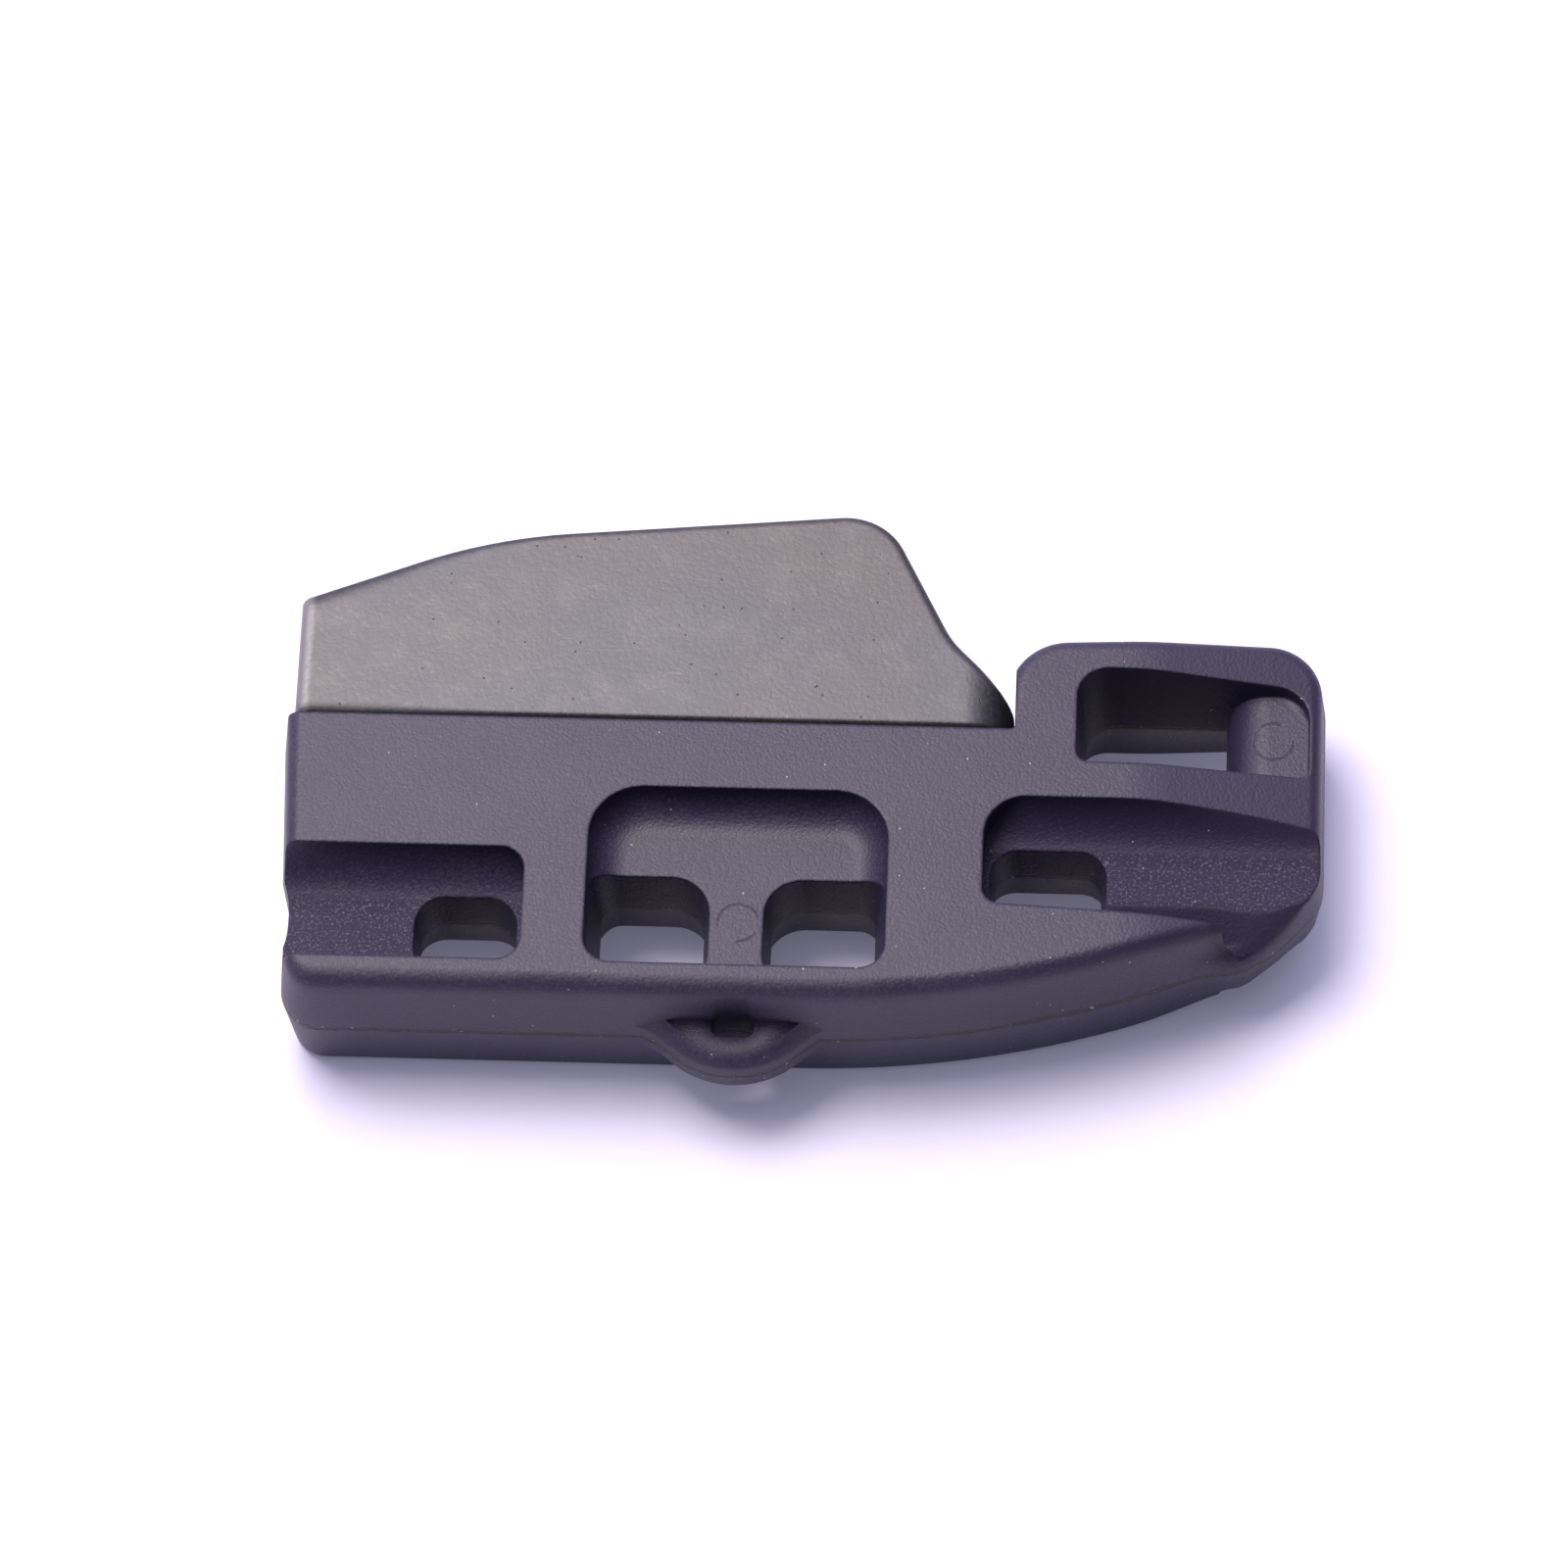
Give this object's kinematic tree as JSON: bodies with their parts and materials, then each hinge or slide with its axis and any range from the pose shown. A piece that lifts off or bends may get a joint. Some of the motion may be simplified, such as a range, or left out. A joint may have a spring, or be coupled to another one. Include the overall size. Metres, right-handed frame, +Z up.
{
  "type": "jam cleat",
  "caption": "In-line rope jam cleat: a serrated V channel of anodised aluminium screwed to a moulded black nylon base with rope slots, a raised fairlead head and a small eyelet lug.",
  "frame": {"origin": "under the middle of the part's box, on the flat side that it lies on", "axes": "+X from the tail to the nose, +Y from the base to the cleat's crest, +Z up through the thickness, from the flat side that it lies on to the one that shows"},
  "size_m": [0.0964, 0.054, 0.017],
  "materials": {
    "black_nylon": "glass-filled nylon with a fine spark-eroded grain",
    "anodised_aluminium": "dark grey hard anodising, satin, over a tumbled casting",
    "stainless_steel": "plain stainless steel"
  },
  "bodies": {
    "root": {"base_moulding": "black_nylon", "cleat_body": "anodised_aluminium", "front_screw": "stainless_steel", "rear_screw": "stainless_steel"}
  },
  "joints": []
}
